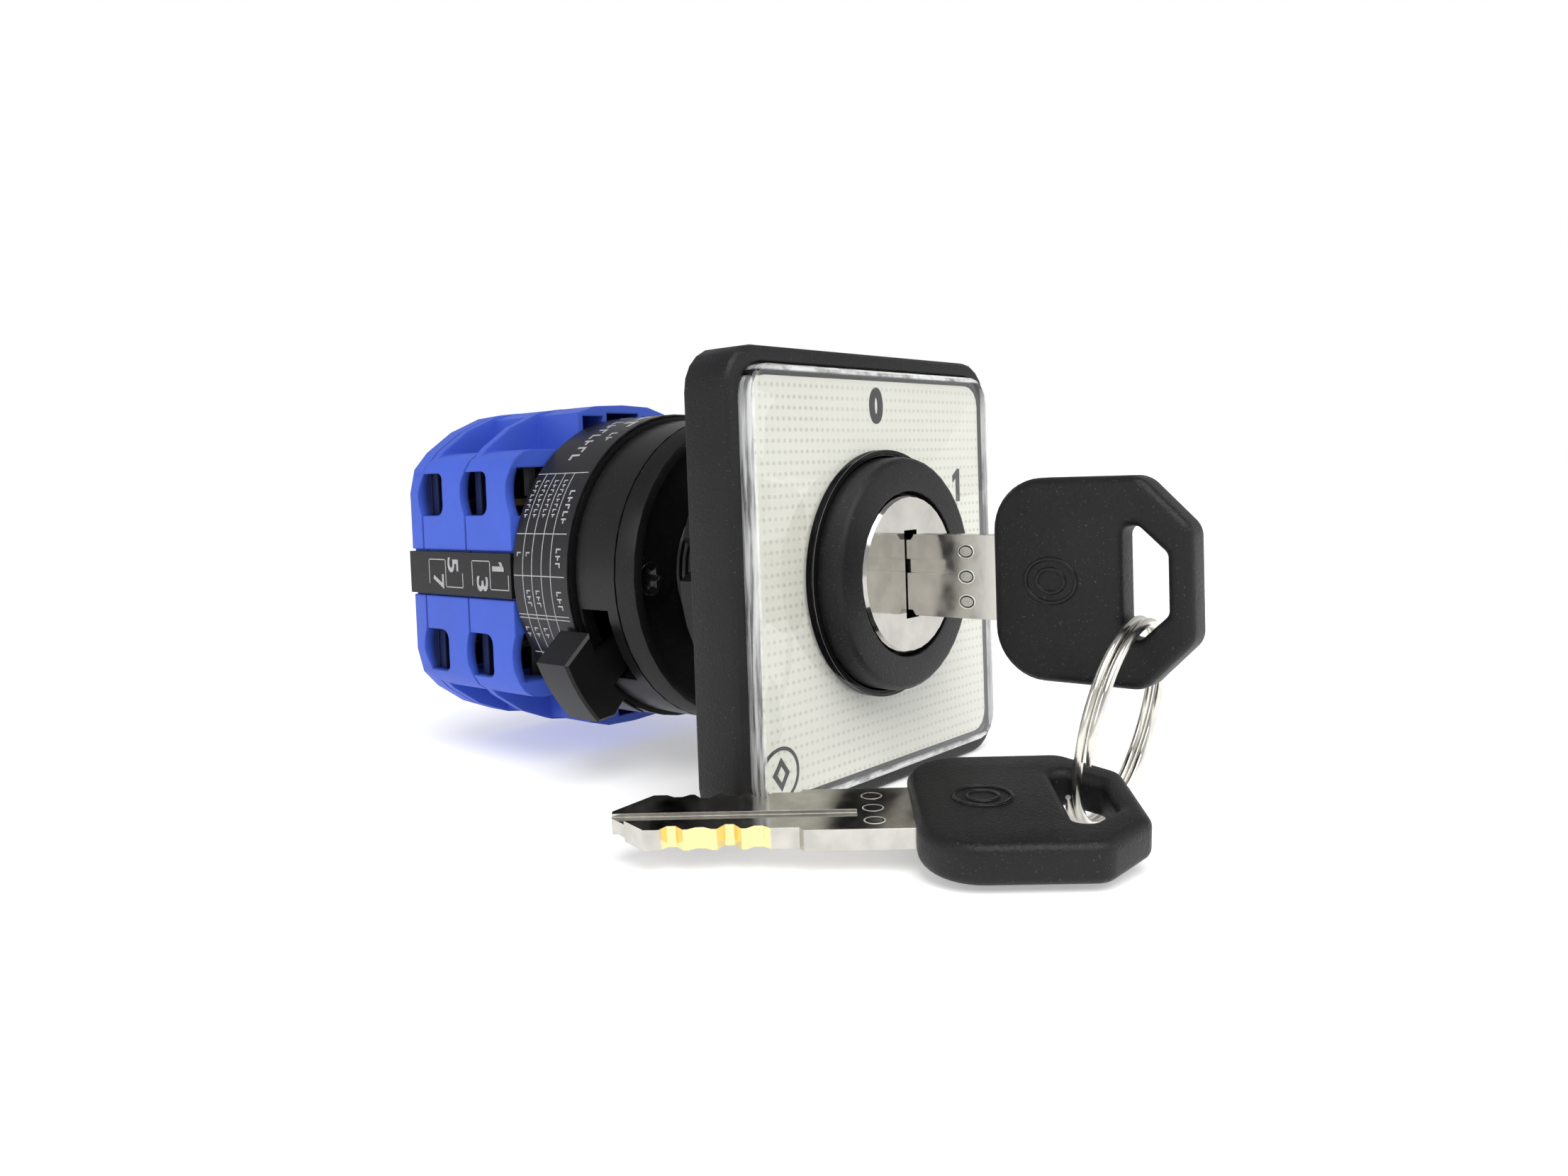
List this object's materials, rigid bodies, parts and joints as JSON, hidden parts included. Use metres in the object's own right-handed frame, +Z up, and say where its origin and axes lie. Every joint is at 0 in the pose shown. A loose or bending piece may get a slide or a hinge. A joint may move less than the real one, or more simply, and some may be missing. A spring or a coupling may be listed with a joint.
{
  "type": "selector key switch",
  "caption": "Panel-mounted selector key switch: square frame with a clear-covered legend, cylinder lock and key, split ring with a spare key, round body and stacked contact blocks.",
  "frame": {"origin": "where the switch's axis crosses the panel face, the back of the square front frame", "axes": "+Y along the switch's axis, from the key to the contact blocks; +X to the right seen from the front; +Z up"},
  "size_m": [0.0599, 0.0978, 0.048],
  "materials": {
    "black_plastic": "satin moulded",
    "matte_black": "fine grain",
    "blue_plastic": "moulded",
    "legend": "fine woven grain",
    "clear": "clear acrylic",
    "nickel": "nickel plate",
    "steel": "zinc plated",
    "brass": "bright",
    "white_plastic": "moulded",
    "label": "printed film"
  },
  "bodies": {
    "housing": {"bezel_frame": "matte_black", "legend_plate": "legend", "clear_cover": "clear", "lock_collar": "matte_black", "lock_barrel": "nickel", "fixing_nut": "black_plastic", "front_cap": "black_plastic", "front_housing": "black_plastic", "rear_housing": "black_plastic", "rating_label": "label", "front_screw_left": "steel", "front_screw_right": "steel", "tie_screw_left": "steel", "tie_screw_right": "steel", "detent_clip": "steel", "end_plate": "blue_plastic", "number_strip_left": "black_plastic", "number_strip_right": "black_plastic", "stage_1": "blue_plastic", "contact_spring_1_upper": "steel", "contact_spring_1_lower": "steel", "stage_2": "blue_plastic", "contact_spring_2_upper": "steel", "contact_spring_2_lower": "steel", "terminal_1": "brass", "terminal_screw_1": "steel", "terminal_2": "brass", "terminal_screw_2": "steel", "terminal_3": "brass", "terminal_screw_3": "steel", "terminal_4": "brass", "terminal_screw_4": "steel", "terminal_5": "brass", "terminal_screw_5": "steel", "terminal_6": "brass", "terminal_screw_6": "steel", "terminal_7": "brass", "terminal_screw_7": "steel", "terminal_8": "brass", "terminal_screw_8": "steel"},
    "rotor": {"lock_plug": "nickel", "wafer_1": "brass", "wafer_2": "brass", "wafer_3": "brass", "wafer_4": "brass", "main_shaft": "black_plastic", "detent_wheel": "white_plastic", "cam_1": "white_plastic", "cam_2": "white_plastic"},
    "key_1": {"key_1_blade": "nickel", "key_1_bow": "matte_black"},
    "ring": {"split_ring": "nickel"},
    "key_2": {"key_2_blade": "nickel", "key_2_bow": "matte_black"},
    "lever": {"release_lever": "black_plastic"},
    "bridge_1_upper": {"contact_bridge_1_upper": "brass"},
    "bridge_1_lower": {"contact_bridge_1_lower": "brass"},
    "bridge_2_upper": {"contact_bridge_2_upper": "brass"},
    "bridge_2_lower": {"contact_bridge_2_lower": "brass"}
  },
  "joints": [
    {"name": "key_turn", "type": "hinge", "parent": "housing", "child": "rotor", "pos_m": [0, 0, 0], "axis": [0, 1, 0], "range_deg": [0, 60]},
    {"name": "key_1_withdraw", "type": "slide", "parent": "rotor", "child": "key_1", "axis": [0, -1, 0], "range_m": [0, 0.029]},
    {"name": "ring_swing", "type": "hinge", "parent": "key_1", "child": "ring", "pos_m": [-0.00121, -0.03564, -0.0036], "axis": [-0.9956, -0.0937, 0], "range_deg": [-1, 4]},
    {"name": "key_2_travel", "type": "hinge", "parent": "ring", "child": "key_2", "pos_m": [-0.0014, -0.0336, -0.01324], "axis": [-0.0917, 0.9739, 0.2075], "range_deg": [0, 20]},
    {"name": "lever_release", "type": "hinge", "parent": "housing", "child": "lever", "pos_m": [0, 0.0223, 0], "axis": [0, 1, 0], "range_deg": [0, 12]},
    {"name": "bridge_1_upper_stroke", "type": "slide", "parent": "housing", "child": "bridge_1_upper", "axis": [0, 0, -1], "range_m": [0, 0.0012], "deforming": ["contact_spring_1_upper"]},
    {"name": "bridge_1_lower_stroke", "type": "slide", "parent": "housing", "child": "bridge_1_lower", "axis": [0, 0, 1], "range_m": [0, 0.0012], "deforming": ["contact_spring_1_lower"]},
    {"name": "bridge_2_upper_stroke", "type": "slide", "parent": "housing", "child": "bridge_2_upper", "axis": [0, 0, -1], "range_m": [0, 0.0012], "deforming": ["contact_spring_2_upper"]},
    {"name": "bridge_2_lower_stroke", "type": "slide", "parent": "housing", "child": "bridge_2_lower", "axis": [0, 0, 1], "range_m": [0, 0.0012], "deforming": ["contact_spring_2_lower"]}
  ],
  "couplings": [
    {"joint": "bridge_1_upper_stroke", "follows": "key_turn", "m_per_rad": 0.0011458},
    {"joint": "bridge_1_lower_stroke", "follows": "key_turn", "m_per_rad": 0.0011458},
    {"joint": "bridge_2_upper_stroke", "follows": "key_turn", "m_per_rad": 0.0011458},
    {"joint": "bridge_2_lower_stroke", "follows": "key_turn", "m_per_rad": 0.0011458}
  ]
}
